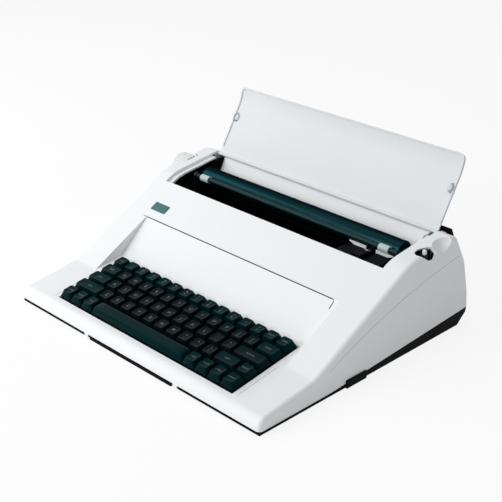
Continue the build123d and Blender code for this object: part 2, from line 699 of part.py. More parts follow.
def power_inlet():
    shell = block(-196.6, -178, 300.3, 321.7, 32.3, 55.7) - block(-198, -184, 303, 319, 35, 53)
    for y in (307, 315):
        shell += bar_x(1.2, -190.5, -183, y, 44)
    return shell


def left_side_plate():
    return side_plate(-1)


def right_side_plate():
    return side_plate(1)


CASE_PIECES = (
    top_cover, base_pan, rubber_feet, case_screws, side_catches, vent_strip, paper_chute, key_frame,
    keyboard_board, main_board, transformer, power_inlet, carry_handle, paper_lid, power_switch,
)
PRINT_UNIT_PIECES = (
    chassis_tray, left_side_plate, right_side_plate, guide_rods, platen_roller, platen_shaft, platen_gear,
    left_knob, idler_gear, motor_pinion, feed_motor, feed_rollers, paper_pan, bail_bar, bail_rollers,
    release_lever, carriage_frame, wheel_motor, print_wheel, print_hammer, hammer_coil, ribbon_cassette,
    card_guide, drive_motor, drive_pulley, belt_idler, carriage_belt,
)

for make in CASE_PIECES:
    save(make(), make.__name__)
for make in PRINT_UNIT_PIECES:
    save(Pos(0, UNIT_Y, UNIT_Z) * make(), make.__name__)
for name, keys in KEY_NODES.items():
    save(Compound([key_plane(key_cap(*key)) for key in keys]), name)
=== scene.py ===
import json
import math

import bmesh
import bpy
from mathutils import Matrix, Vector

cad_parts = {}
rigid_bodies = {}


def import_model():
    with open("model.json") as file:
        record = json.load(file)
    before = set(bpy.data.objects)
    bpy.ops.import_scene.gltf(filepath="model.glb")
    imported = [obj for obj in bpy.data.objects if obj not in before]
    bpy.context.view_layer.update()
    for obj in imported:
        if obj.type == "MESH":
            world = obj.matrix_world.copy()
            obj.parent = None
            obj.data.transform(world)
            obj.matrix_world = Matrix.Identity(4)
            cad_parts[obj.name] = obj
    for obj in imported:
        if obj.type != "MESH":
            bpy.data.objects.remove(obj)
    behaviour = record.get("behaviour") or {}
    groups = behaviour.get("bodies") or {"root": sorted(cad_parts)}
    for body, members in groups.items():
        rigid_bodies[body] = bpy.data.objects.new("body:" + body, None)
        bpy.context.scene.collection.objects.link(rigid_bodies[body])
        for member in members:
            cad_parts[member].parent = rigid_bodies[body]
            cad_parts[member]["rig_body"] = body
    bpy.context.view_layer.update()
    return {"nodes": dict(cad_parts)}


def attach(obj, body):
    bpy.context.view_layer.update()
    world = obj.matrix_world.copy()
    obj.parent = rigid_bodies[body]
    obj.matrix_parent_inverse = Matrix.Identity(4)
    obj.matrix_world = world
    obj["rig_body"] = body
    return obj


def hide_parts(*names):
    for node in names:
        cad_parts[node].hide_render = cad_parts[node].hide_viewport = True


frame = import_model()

bl_info = {
    "name": "Portable Typewriter",
    "version": (1, 0, 0),
    "blender": (4, 5, 0),
    "location": "View3D > Sidebar > Typewriter",
    "description": "Dresses a portable electronic typewriter: case, lid, keys, print unit and studio",
    "category": "Object",
}

# Lengths are metres. The machine's own axes run from its middle, its front edge and the table.
# The frame's origin lies here on those axes.
REST_X = -0.0046
REST_Y = 0.1713

# The key field on the sloping deck: its front edge, the deck's slope and the key pitch.
DECK_SLOPE = 0.15
DECK_LOW = 0.0174
FIELD_FRONT = 0.017
FIELD_Y = FIELD_FRONT - REST_Y
FIELD_Z = DECK_LOW + DECK_SLOPE * FIELD_FRONT
DECK_TILT = math.atan(DECK_SLOPE)
PITCH = 0.01905
FIELD_WIDTH = 15 * PITCH

# Each group of keys: row from the front, left edge and widths in key units, and the marks on the caps.
KEY_GROUPS = {
    "space_bar": (0, 3, [8.0], [""]),
    "left_front_keys": (0, 0, [1.0] * 3, ["CODE", "MODE", "CAPS"]),
    "right_front_keys": (0, 11, [1.0] * 4, ["T SET", "T CLR", "L MAR", "R MAR"]),
    "left_shift_key": (1, 0, [2.25], ["SHIFT"]),
    "lower_letter_keys": (1, 2.25, [1.0] * 10, [*"ZXCVBNM", "<\n,", ">\n.", "?\n/"]),
    "right_shift_key": (1, 12.25, [1.75], ["SHIFT"]),
    "relocate_key": (1, 14, [1.0], ["RELOC"]),
    "shift_lock_key": (2, 0, [1.75], ["LOCK"]),
    "home_letter_keys": (2, 1.75, [1.0] * 11, [*"ASDFGHJKL", ":\n;", "+\n-"]),
    "return_key": (2, 12.75, [2.25], ["RETURN"]),
    "tab_key": (3, 0, [1.5], ["TAB"]),
    "upper_letter_keys": (3, 1.5, [1.0] * 12, [*"QWERTYUIOP", "(\n[", ")\n]"]),
    "index_key": (3, 13.5, [1.5], ["INDEX"]),
    "margin_key": (4, 0, [1.0], ["M REL"]),
    "number_row_keys": (4, 1, [1.0] * 12, [a + "\n" + b for a, b in zip("!@#$%&*()=_+", "1234567890-=")]),
    "backspace_key": (4, 13, [1.0], ["BACK"]),
    "correction_key": (4, 14, [1.0], ["CORR"]),
}
LETTER_GROUPS = ("lower_letter_keys", "home_letter_keys", "upper_letter_keys")
ACCENT_GROUP = "return_key"

# A cap: gap to its neighbours, what its top loses to the taper, and how far the top leans back.
CAP_GAP = 0.0009
CAP_TAPER_WIDE = 0.0050
CAP_TAPER_DEEP = 0.0046
CAP_LEAN = 0.0006
# Skirt rings from below: height, share of the taper, corner radius and share of the lean.
CAP_SKIRT = ((0.0010, 0.0, 0.0009, 0.0), (0.0020, 0.05, 0.0010, 0.1))
# Rim rings from below: drop under the top and share of the taper.
CAP_RIM = ((0.0012, 0.93), (0.0004, 0.985), (0.0, 1.06))
BAR_RIM = ((0.0030, 0.72), (0.0018, 0.90), (0.0009, 1.12), (0.0003, 1.42), (0.0, 1.80))
# Rings of the dished top, as shares of its size.
DISH_RINGS = (0.82, 0.6, 0.34)
# From this many units on, a cap's dish is a trough, and beyond the second width it is a rounded bar.
TROUGH_UNITS = 1.5
BAR_UNITS = 3
TROUGH_SHARE = 0.7

# Letter heights for marks of one and of three characters, height of words, drop under the rim, and film.
MARK_SIZES = {1: 0.0058, 3: 0.0044}
WORD_SIZE = 0.0029
MARK_DROP = 0.0004
MARK_FILM = 0.00002

# Fine grey lines of painted shade beside the keys, standing for the shade of a step in the deck, in the
# plane of the key field: place, ends, width, lower and upper face.
EDGE_LINE_X = 0.1502
EDGE_LINE_ENDS = (-0.0015, 0.0595)
EDGE_LINE_WIDTH = 0.0009
EDGE_LINE_LEVELS = (-0.0003, 0.00005)

# The panel behind the keys, from its foot to its top, as Y and Z.
RECESS_FOOT = (0.119, 0.03525)
RECESS_TOP = (0.161, 0.0734)
RECESS_TILT = math.atan((RECESS_TOP[1] - RECESS_FOOT[1]) / (RECESS_TOP[0] - RECESS_FOOT[0]))
# The seam line of painted shade sunk in the groove, in the panel's plane from the middle of its top:
# straight, then round a bend and down.
SEAM_ENDS = ((-0.1555, -0.0005), (0.1444, -0.0005))
SEAM_BEND = (0.1450, -0.0039)
SEAM_RADIUS = 0.0034
SEAM_BEND_STEPS = 6
SEAM_TAIL = (0.1484, -0.0112)
SEAM_WIDTH = 0.0011
SEAM_LEVELS = (-0.0008, -0.0004)

# The crease where the deck meets the sloping top, that slope, and the badge plate on it.
CREASE_Y = 0.079
CREASE_Z = 0.02925
PANEL_SLOPE = 0.5538
PANEL_TILT = math.atan(PANEL_SLOPE)
BADGE_X = -0.1475
BADGE_Y = 0.1753
# Badge rings from below: width, depth, corner radius and height.
BADGE_RINGS = (
    (0.0250, 0.0122, 0.0012, -0.0004),
    (0.0250, 0.0122, 0.0012, 0.0005),
    (0.0238, 0.0110, 0.0008, 0.0008),
)
BADGE_SMOOTH = 12.0

# Faces of the cover behind this line that look forward are the inside of its rear wall; they get painted
# shade in black.
REAR_WALL = 0.322 - REST_Y
LOOKS_FORWARD = -0.5

# Stop pads on the open lid: place, lean of the lid, how narrow they are across, and their two discs; the
# grey rim disc is painted shade.
STOP_X = 0.1688
STOP_Y = 0.3253 - REST_Y
STOP_Z = 0.1585
LID_LEAN = math.radians(59.3)
STOP_NARROW = 0.73
STOP_SIDES = 32
STOP_RIM_RADII = (0.0058, 0.0055)
STOP_RIM_DEPTH = 0.0018
STOP_RIM_LIFT = 0.0006
STOP_FACE_RADII = (0.0041, 0.0037)
STOP_FACE_DEPTH = 0.0020
STOP_FACE_SHIFT = (0.0026, 0.0002, 0.0007)

# Above this height the release lever is pale, with a short blend.
LEVER_TIP = 0.1080
TIP_BLEND = 0.0003

# Side wall of the well as Y and Z, and X of the two faces of the black sheet of painted shade against it.
WELL_OUTLINE = (
    (0.2145, 0.080),
    (0.2145, 0.0965),
    (0.226, 0.1025),
    (0.236, 0.1050),
    (0.2865, 0.1118),
    (0.2865, 0.080),
)
SHADE_SHEET_FACES = (0.1676, 0.1680)

# Soft lamps: name, place in the frame, side length and share of the key light's power, and their aim.
LAMPS = (
    ("key_lamp", (-0.75, -1.9, 1.25), 1.1, 1.0),
    ("left_lamp", (-1.2, -0.35, 0.8), 0.8, 0.17),
    ("top_lamp", (-0.2, 0.2, 2.0), 1.6, 0.14),
)
LAMP_AIM = (0, 0, 0.06)
FLOOR_SIZE = 6.0
FLOOR_GLOW = 0.85

# The picture in pixels: side, focal length and middle, and the spot that the camera looks at.
PICTURE = 502
FOCAL = 1136.91
MIDDLE = (235.55, 258.57)
SENSOR = 36.0
AIM_Y = 0.160
AIM_Z = 0.07015

# Copied nodes: points closer than this are one, flatter edges go, sharper edges are rounded.
WELD = 1e-6
FLAT_ANGLE = math.radians(0.5)
EDGE_ANGLE = math.radians(28)
EDGE_STEPS = 2
CORNER_STEPS = 4

WHITE = (1, 1, 1, 1)
CLEAR = (1.0, 1.0, 1.0)
BOARD_GREEN = (0.02, 0.07, 0.035)


class TypewriterCase(bpy.types.PropertyGroup):
    """Colours and edges of the case"""

    shell: bpy.props.FloatVectorProperty(
        name="Shell",
        description="Colour of the white case",
        subtype="COLOR",
        default=(0.828, 0.848, 0.860),
        min=0,
        max=1,
    )
    lid: bpy.props.FloatVectorProperty(
        name="Lid",
        description="Colour of the paper lid",
        subtype="COLOR",
        default=(0.72, 0.745, 0.765),
        min=0,
        max=1,
    )
    base: bpy.props.FloatVectorProperty(
        name="Base",
        description="Colour of the base pan and handle",
        subtype="COLOR",
        default=(0.0022, 0.0023, 0.0024),
        min=0,
        max=1,
    )
    badge: bpy.props.FloatVectorProperty(
        name="Badge",
        description="Colour of the bare badge plate",
        subtype="COLOR",
        default=(0.012, 0.125, 0.122),
        min=0,
        max=1,
    )
    edge_round: bpy.props.FloatProperty(
        name="Edge round",
        description="Radius of the moulded edges of the cover",
        default=0.0012,
        unit="LENGTH",
        min=0.0002,
        max=0.004,
    )


class TypewriterKeys(bpy.types.PropertyGroup):
    """Colours and form of the keys"""

    cap: bpy.props.FloatVectorProperty(
        name="Letter caps",
        description="Colour of the letter keys",
        subtype="COLOR",
        default=(0.0018, 0.0052, 0.0060),
        min=0,
        max=1,
    )
    function_cap: bpy.props.FloatVectorProperty(
        name="Function caps",
        description="Colour of the space bar, number and function keys",
        subtype="COLOR",
        default=(0.0003, 0.0108, 0.0124),
        min=0,
        max=1,
    )
    accent: bpy.props.FloatVectorProperty(
        name="Return cap",
        description="Colour of the return key",
        subtype="COLOR",
        default=(0.0022, 0.0075, 0.0090),
        min=0,
        max=1,
    )
    mark: bpy.props.FloatVectorProperty(
        name="Marks",
        description="Colour of the letters on the caps",
        subtype="COLOR",
        default=(0.12, 0.17, 0.18),
        min=0,
        max=1,
    )
    height: bpy.props.FloatProperty(
        name="Cap height",
        description="Top of the caps above the deck",
        default=0.0086,
        unit="LENGTH",
        min=0.004,
        max=0.012,
    )
    corner: bpy.props.FloatProperty(
        name="Cap corner",
        description="Corner radius of a cap's top",
        default=0.0022,
        unit="LENGTH",
        min=0.0005,
        max=0.004,
    )
    dish: bpy.props.FloatProperty(
        name="Dish",
        description="Depth of the hollow in a cap's top",
        default=0.0008,
        unit="LENGTH",
        min=0.0,
        max=0.002,
    )


class TypewriterStudio(bpy.types.PropertyGroup):
    """Camera and light"""

    azimuth: bpy.props.FloatProperty(
        name="Azimuth",
        description="Camera angle to the right of the front",
        default=math.radians(45.93),
        subtype="ANGLE",
    )
    elevation: bpy.props.FloatProperty(
        name="Elevation",
        description="Camera angle above the table",
        default=math.radians(25.58),
        subtype="ANGLE",
    )
    distance: bpy.props.FloatProperty(
        name="Distance",
        description="Camera to the middle of the machine",
        default=1.28621,
        unit="LENGTH",
        min=0.3,
    )
    key_power: bpy.props.FloatProperty(
        name="Key light",
        description="Power of the large front lamp",
        default=27.0,
        subtype="POWER",
        min=0,
    )
    fill: bpy.props.FloatProperty(
        name="Sky",
        description="Strength of the even light from all round",
        default=0.45,
        min=0,
        max=2,
    )


def link(piece):
    bpy.context.scene.collection.objects.link(piece)
    return piece


def wired(tree, kind, **inputs):
    """A shader node with its named inputs set or wired."""
    node = tree.nodes.new(kind)
    for name, value in inputs.items():
        socket = node.inputs[name.replace("_", " ")]
        if isinstance(value, bpy.types.NodeSocket):
            tree.links.new(value, socket)
        else:
            socket.default_value = value
    return node


def fresh(name, roughness):
    """A new material with its node tree, its shader and the piece's own coordinates."""
    material = bpy.data.materials.new(name)
    material.use_nodes = True
    tree = material.node_tree
    shader = tree.nodes["Principled BSDF"]
    shader.inputs["Roughness"].default_value = roughness
    where = tree.nodes.new("ShaderNodeTexCoord").outputs["Object"]
    return material, tree, shader, where


def noise(tree, where, scale, detail=3.0, roughness=0.55):
    node = wired(tree, "ShaderNodeTexNoise", Vector=where, Scale=scale, Detail=detail, Roughness=roughness)
    return node.outputs["Fac"]


def remap(tree, value, low, high, to_low, to_high):
    node = wired(
        tree, "ShaderNodeMapRange", Value=value, From_Min=low, From_Max=high, To_Min=to_low, To_Max=to_high
    )
    return node.outputs["Result"]


def between(tree, factor, first, second):
    """A colour between two others, by a factor."""
    node = tree.nodes.new("ShaderNodeMix")
    node.data_type = "RGBA"
    # Inputs 6 and 7 and output 2 are this node's colours.
    tree.links.new(factor, node.inputs["Factor"])
    node.inputs[6].default_value = (*first, 1.0)
    node.inputs[7].default_value = (*second, 1.0)
    return node.outputs[2]


def mottle(tree, shader, pattern, dark, light):
    """Colours the shader in patches between two colours."""
    tree.links.new(between(tree, pattern, dark, light), shader.inputs["Base Color"])


def wear(tree, shader, pattern, least, most, low=0.3, high=0.7):
    """Roughens the shader in patches between two values."""
    tree.links.new(remap(tree, pattern, low, high, least, most), shader.inputs["Roughness"])


def bumped(tree, shader, height, depth):
    bump = wired(tree, "ShaderNodeBump", Height=height, Strength=1.0, Distance=depth)
    tree.links.new(bump.outputs["Normal"], shader.inputs["Normal"])


def seen_rays(tree):
    """1 for what is seen straight, mirrored or through glass, and 0 for light that falls on the pieces."""
    rays = tree.nodes.new("ShaderNodeLightPath").outputs
    share = rays["Is Camera Ray"]
    for other in ("Is Glossy Ray", "Is Transmission Ray"):
        larger = tree.nodes.new("ShaderNodeMath")
        larger.operation = "MAXIMUM"
        tree.links.new(share, larger.inputs[0])
        tree.links.new(rays[other], larger.inputs[1])
        share = larger.outputs["Value"]
    return share


def tint(colour, gain):
    return tuple(min(1.0, c * gain) for c in colour)


def moulded(name, colour, roughness=0.5, grain=1700.0, depth=0.00002, spread=0.05, shine=0.5, sheen=CLEAR):
    """Injection-moulded plastic: fine spark-eroded grain, faint flow clouds and handling shine."""
    material, tree, shader, where = fresh(name, roughness)
    shader.inputs["Specular IOR Level"].default_value = shine
    shader.inputs["Specular Tint"].default_value = (*sheen, 1.0)
    clouds = noise(tree, where, scale=14.0, detail=4.0)
    mottle(tree, shader, clouds, tint(colour, 1 - spread), tint(colour, 1 + spread))
    rubbed = noise(tree, where, scale=38.0, detail=5.0, roughness=0.65)
    wear(tree, shader, rubbed, roughness - 0.07, roughness + 0.07)
    bumped(tree, shader, noise(tree, where, scale=grain, detail=2.0), depth)
    return material


def tipped(name, tip, stem, height):
    """Moulded lever: pale above the given height, dark below it."""
    material, tree, shader, where = fresh(name, roughness=0.45)
    level = wired(tree, "ShaderNodeSeparateXYZ", Vector=where).outputs["Z"]
    share = remap(tree, level, height - TIP_BLEND, height + TIP_BLEND, 0.0, 1.0)
    mottle(tree, shader, share, stem, tip)
    wear(tree, shader, noise(tree, where, scale=90.0, detail=4.0), least=0.38, most=0.52)
    bumped(tree, shader, noise(tree, where, scale=1500.0, detail=2.0), depth=0.00002)
    return material


def rolled(name, colour, metallic=1.0, roughness=0.35):
    """Metal sheet or rod: fine drawn lines along X and a little staining."""
    material, tree, shader, where = fresh(name, roughness)
    shader.inputs["Metallic"].default_value = metallic
    drawn = wired(tree, "ShaderNodeMapping", Vector=where, Scale=(40.0, 1800.0, 1800.0)).outputs["Vector"]
    lines = noise(tree, drawn, scale=1.0, detail=3.0)
    stain = noise(tree, where, scale=60.0, detail=4.0)
    mottle(tree, shader, stain, tint(colour, 0.85), tint(colour, 1.1))
    wear(tree, shader, lines, roughness - 0.08, roughness + 0.1, low=0.2, high=0.8)
    bumped(tree, shader, lines, depth=0.000008)
    return material


def ground_rubber(name, colour, roughness=0.42, shine=0.5, sheen=CLEAR, glaze=0.0):
    """Ground rubber: fine rings round the roller and a dull bloom; a glaze tints what it mirrors."""
    material, tree, shader, where = fresh(name, roughness)
    shader.inputs["Metallic"].default_value = glaze
    shader.inputs["Specular IOR Level"].default_value = shine
    shader.inputs["Specular Tint"].default_value = (*sheen, 1.0)
    turned = wired(tree, "ShaderNodeMapping", Vector=where, Scale=(1500.0, 30.0, 30.0)).outputs["Vector"]
    rings = noise(tree, turned, scale=1.0, detail=2.0)
    bloom = noise(tree, where, scale=25.0, detail=5.0, roughness=0.6)
    mottle(tree, shader, bloom, tint(colour, 0.8), tint(colour, 1.25))
    wear(tree, shader, bloom, roughness - 0.06, roughness + 0.1)
    bumped(tree, shader, rings, depth=0.00001)
    return material


def frosted(name, colour):
    """Frosted plastic: pale, with a little light let through."""
    material, tree, shader, where = fresh(name, roughness=0.46)
    clouds = noise(tree, where, scale=9.0, detail=4.0)
    mottle(tree, shader, clouds, tint(colour, 0.97), tint(colour, 1.02))
    wear(tree, shader, noise(tree, where, scale=45.0, detail=5.0), least=0.40, most=0.52)
    bumped(tree, shader, noise(tree, where, scale=2600.0, detail=2.0), depth=0.000012)
    shader.inputs["Specular IOR Level"].default_value = 0.2
    shader.inputs["Subsurface Weight"].default_value = 0.25
    shader.inputs["Subsurface Radius"].default_value = (0.004, 0.004, 0.004)
    return material


def laminate(name, colour):
    """Circuit board: lacquered glass weave with paler lines under the lacquer."""
    material, tree, shader, where = fresh(name, roughness=0.3)
    weave = wired(tree, "ShaderNodeTexBrick", Vector=where, Scale=120.0)
    weave.inputs["Color1"].default_value = (*colour, 1)
    weave.inputs["Color2"].default_value = (*tint(colour, 1.2), 1)
    weave.inputs["Mortar"].default_value = (*tint(colour, 2.0), 1)
    tree.links.new(weave.outputs["Color"], shader.inputs["Base Color"])
    bumped(tree, shader, noise(tree, where, scale=900.0, detail=2.0), depth=0.00001)
    return material


def paint(piece, material):
    piece.data.materials.clear()
    piece.data.materials.append(material)


def dress_node(name, material):
    """Gives a node of the frame its finish in every material slot."""
    piece = frame["nodes"][name]
    for slot in piece.material_slots:
        slot.material = material
    if not piece.material_slots:
        piece.data.materials.append(material)


def body_of(name):
    return frame["nodes"][name]["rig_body"]


def rounded_copy(node, material, width):
    """A copy of a node with its sharp edges rounded to this width, standing in the node's place."""
    source = frame["nodes"][node]
    mesh = source.data.copy()
    work = bmesh.new()
    work.from_mesh(mesh)
    bmesh.ops.remove_doubles(work, verts=work.verts, dist=WELD)
    bmesh.ops.dissolve_limit(work, angle_limit=FLAT_ANGLE, verts=work.verts, edges=work.edges)
    work.to_mesh(mesh)
    work.free()
    piece = link(bpy.data.objects.new(node + ".dressed", mesh))
    paint(piece, material)
    mesh.shade_smooth()
    bevel = piece.modifiers.new("edge", "BEVEL")
    bevel.width = width
    bevel.segments = EDGE_STEPS
    bevel.limit_method = "ANGLE"
    bevel.angle_limit = EDGE_ANGLE
    bevel.use_clamp_overlap = True
    bevel.harden_normals = False
    normals = piece.modifiers.new("normals", "WEIGHTED_NORMAL")
    normals.keep_sharp = True
    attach(piece, body_of(node))
    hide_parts(node)
    return piece


def ring(width, depth, corner):
    """Points of a rounded rectangle round the origin."""
    points = []
    r = min(corner, width / 2 - 1e-5, depth / 2 - 1e-5)
    for cx, cy, start in ((1, 1, 0), (-1, 1, 90), (-1, -1, 180), (1, -1, 270)):
        for i in range(CORNER_STEPS + 1):
            a = math.radians(start + 90 * i / CORNER_STEPS)
            x = cx * (width / 2 - r) + r * math.cos(a)
            y = cy * (depth / 2 - r) + r * math.sin(a)
            points.append((x, y))
    return points


def skin(work, loops):
    """Joins rings of points, from the lowest to the highest, into a closed skin."""
    for low, high in zip(loops, loops[1:]):
        for i in range(len(low)):
            j = (i + 1) % len(low)
            work.faces.new((low[i], low[j], high[j], high[i]))
    work.faces.new(loops[-1])
    work.faces.new(list(reversed(loops[0])))


def add_cap(work, x, y, units, keys):
    """One key cap in the key field: tapered skirt, rounded rim and a dished top."""
    foot_w = units * PITCH - CAP_GAP
    foot_d = PITCH - CAP_GAP
    top_w = foot_w - CAP_TAPER_WIDE
    top_d = foot_d - CAP_TAPER_DEEP
    top = keys.height
    bar = units > BAR_UNITS
    dish = 0.0 if bar else keys.dish
    rim = BAR_RIM if bar else CAP_RIM
    levels = [*CAP_SKIRT] + [(top - drop, taper, keys.corner, 1.0) for drop, taper in rim]
    crown_w = foot_w + (top_w - foot_w) * rim[-1][1]
    crown_d = foot_d + (top_d - foot_d) * rim[-1][1]
    loops = []
    for z, taper, corner, lean in levels:
        w = foot_w + (top_w - foot_w) * taper
        d = foot_d + (top_d - foot_d) * taper
        points = ring(w, d, corner)
        loops.append([work.verts.new((x + px, y + py + CAP_LEAN * lean, z)) for px, py in points])
    for shrink in DISH_RINGS:
        hollow = dish * (1 - shrink**2)
        loop = []
        for px, py in ring(crown_w * shrink, crown_d * shrink, keys.corner * shrink):
            trough = dish * (1 - (py / (crown_d / 2)) ** 2) * TROUGH_SHARE
            depth = hollow if units < TROUGH_UNITS else trough
            loop.append(work.verts.new((x + px, y + py + CAP_LEAN, top - depth)))
        loops.append(loop)
    skin(work, loops)


def add_ribbon(work, path, width, low, high):
    """A flat strip of the given width along a path of points, between two heights."""
    sides = []
    for index, point in enumerate(path):
        before = Vector(path[max(index - 1, 0)])
        after = Vector(path[min(index + 1, len(path) - 1)])
        along = (after - before).normalized()
        across = Vector((-along.y, along.x)) * (width / 2)
        corners = [Vector(point) + across, Vector(point) - across]
        sides.append([work.verts.new((c.x, c.y, z)) for z in (low, high) for c in corners])
    for a, b in zip(sides, sides[1:]):
        for i, j in ((0, 1), (1, 3), (3, 2), (2, 0)):
            work.faces.new((a[i], a[j], b[j], b[i]))
    first, last = sides[0], sides[-1]
    work.faces.new((first[0], first[2], first[3], first[1]))
    work.faces.new((last[0], last[1], last[3], last[2]))
    bmesh.ops.recalc_face_normals(work, faces=work.faces)


def field_matrix():
    """Places the key field on the sloping deck."""
    return Matrix.Translation((-REST_X, FIELD_Y, FIELD_Z)) @ Matrix.Rotation(DECK_TILT, 4, "X")


def add_mark(work, text, x, y, z, size):
    """Letters printed on a cap, as a thin raised film."""
    curve = bpy.data.curves.new("mark", "FONT")
    curve.body = text
    curve.size = size
    curve.extrude = MARK_FILM
    curve.align_x = "CENTER"
    curve.align_y = "CENTER"
    curve.resolution_u = 2
    holder = bpy.data.objects.new("mark", curve)
    mesh = bpy.data.meshes.new_from_object(holder)
    mesh.transform(Matrix.Translation((x, y, z)))
    work.from_mesh(mesh)
    bpy.data.objects.remove(holder)
    bpy.data.curves.remove(curve)
    bpy.data.meshes.remove(mesh)


def finished(work, name, material, smooth_angle=35.0):
    """Turns a worked mesh into a piece with its material and smooth faces."""
    mesh = bpy.data.meshes.new(name)
    work.normal_update()
    work.to_mesh(mesh)
    work.free()
    piece = link(bpy.data.objects.new(name, mesh))
    paint(piece, material)
    mesh.shade_smooth()
    mesh.set_sharp_from_angle(angle=math.radians(smooth_angle))
    return piece


class TYPEWRITER_OT_case(bpy.types.Operator):
    """Finishes the white cover, the black pan and the trim on them"""

    bl_idname = "typewriter.case"
    bl_label = "Case"

    def execute(self, context):
        look = context.scene.typewriter_case
        shell = moulded("shell_plastic", look.shell, grain=1500.0, depth=0.00003, spread=0.012, shine=0.22)
        black = moulded(
            "base_plastic", look.base, roughness=0.55, grain=1300.0, depth=0.00004, spread=0.2, shine=0.03
        )
        knob = moulded(
            "knob_plastic", tint(look.shell, 0.84), roughness=0.45, grain=1500.0, spread=0.012, shine=0.22
        )
        cover = rounded_copy("top_cover", shell, look.edge_round)
        # Painted shade: the inside of the cover's rear wall is coloured black.
        self.paint_rear_wall_shade(cover, look)
        rounded_copy("base_pan", black, 0.0008)
        rounded_copy("paper_chute", shell, 0.0002)
        rounded_copy("left_knob", knob, 0.0006)
        rounded_copy("release_lever", tipped("lever_plastic", look.shell, look.base, LEVER_TIP), 0.0005)
        for node in ("side_catches", "vent_strip", "power_inlet"):
            rounded_copy(node, black, 0.0004)
        dress_node("rubber_feet", ground_rubber("foot_rubber", (0.02, 0.02, 0.02), roughness=0.7))
        dress_node("case_screws", rolled("screw_steel", (0.5, 0.5, 0.5)))
        return {"FINISHED"}

    def paint_rear_wall_shade(self, cover, look):
        """Painted shade: black on the inner face of the rear wall, which shows under the platen, standing
        for the white moulding lying in shade.
        """
        rear_shade = moulded(
            "rear_wall_shade", look.base, roughness=0.7, grain=600.0, depth=0.00003, spread=0.2, shine=0.02
        )
        cover.data.materials.append(rear_shade)
        for face in cover.data.polygons:
            if face.center.y > REAR_WALL and face.normal.y < LOOKS_FORWARD:
                face.material_index = 1


class TYPEWRITER_OT_lid(bpy.types.Operator):
    """Finishes the frosted paper lid and makes the round stop pads on its two side edges"""

    bl_idname = "typewriter.lid"
    bl_label = "Paper lid"

    def execute(self, context):
        look = context.scene.typewriter_case
        rounded_copy("paper_lid", frosted("lid_plastic", look.lid), 0.0003)
        # The grey rims are painted shade of a hollow's wall, showing as a crescent beside the paler face.
        grey = moulded(
            "stop_painted_shade",
            (0.27, 0.28, 0.29),
            roughness=0.6,
            grain=900.0,
            depth=0.00003,
            spread=0.1,
            shine=0.3,
        )
        pale = moulded("stop_face", tint(look.lid, 0.86), grain=900.0, depth=0.00003, shine=0.3)
        rims = bmesh.new()
        faces = bmesh.new()
        for side in (-1, 1):
            self.add_stop(rims, faces, side)
        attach(finished(rims, "lid_stop_shade_rims", grey), body_of("paper_lid"))
        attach(finished(faces, "lid_stop_faces", pale), body_of("paper_lid"))
        return {"FINISHED"}

    def add_stop(self, rims, faces, side):
        """One stop pad: a grey oval of painted shade with a paler face set towards the middle of the lid,
        so that the grey shows as a shaded crescent on the outer side.
        """
        inward, along, lift = STOP_FACE_SHIFT
        spot = Matrix.Translation((side * STOP_X - REST_X, STOP_Y, STOP_Z))
        place = spot @ Matrix.Rotation(LID_LEAN, 4, "X") @ Matrix.Diagonal((STOP_NARROW, 1.0, 1.0, 1.0))
        rim = place @ Matrix.Translation((0, 0, STOP_RIM_LIFT))
        face = place @ Matrix.Translation((-side * inward, along, lift))
        self.add_disc(rims, STOP_RIM_RADII, STOP_RIM_DEPTH, rim)
        self.add_disc(faces, STOP_FACE_RADII, STOP_FACE_DEPTH, face)

    def add_disc(self, work, radii, depth, place):
        bmesh.ops.create_cone(
            work,
            cap_ends=True,
            segments=STOP_SIDES,
            radius1=radii[0],
            radius2=radii[1],
            depth=depth,
            matrix=place,
        )


class TYPEWRITER_OT_handle(bpy.types.Operator):
    """Finishes the carrying handle and the power switch"""

    bl_idname = "typewriter.handle"
    bl_label = "Handle and switch"

    def execute(self, context):
        look = context.scene.typewriter_case
        grip = moulded("handle_plastic", look.base, grain=900.0, depth=0.00003, spread=0.2, shine=0.03)
        rounded_copy("carry_handle", grip, 0.0006)
        rounded_copy("power_switch", grip, 0.0004)
        return {"FINISHED"}


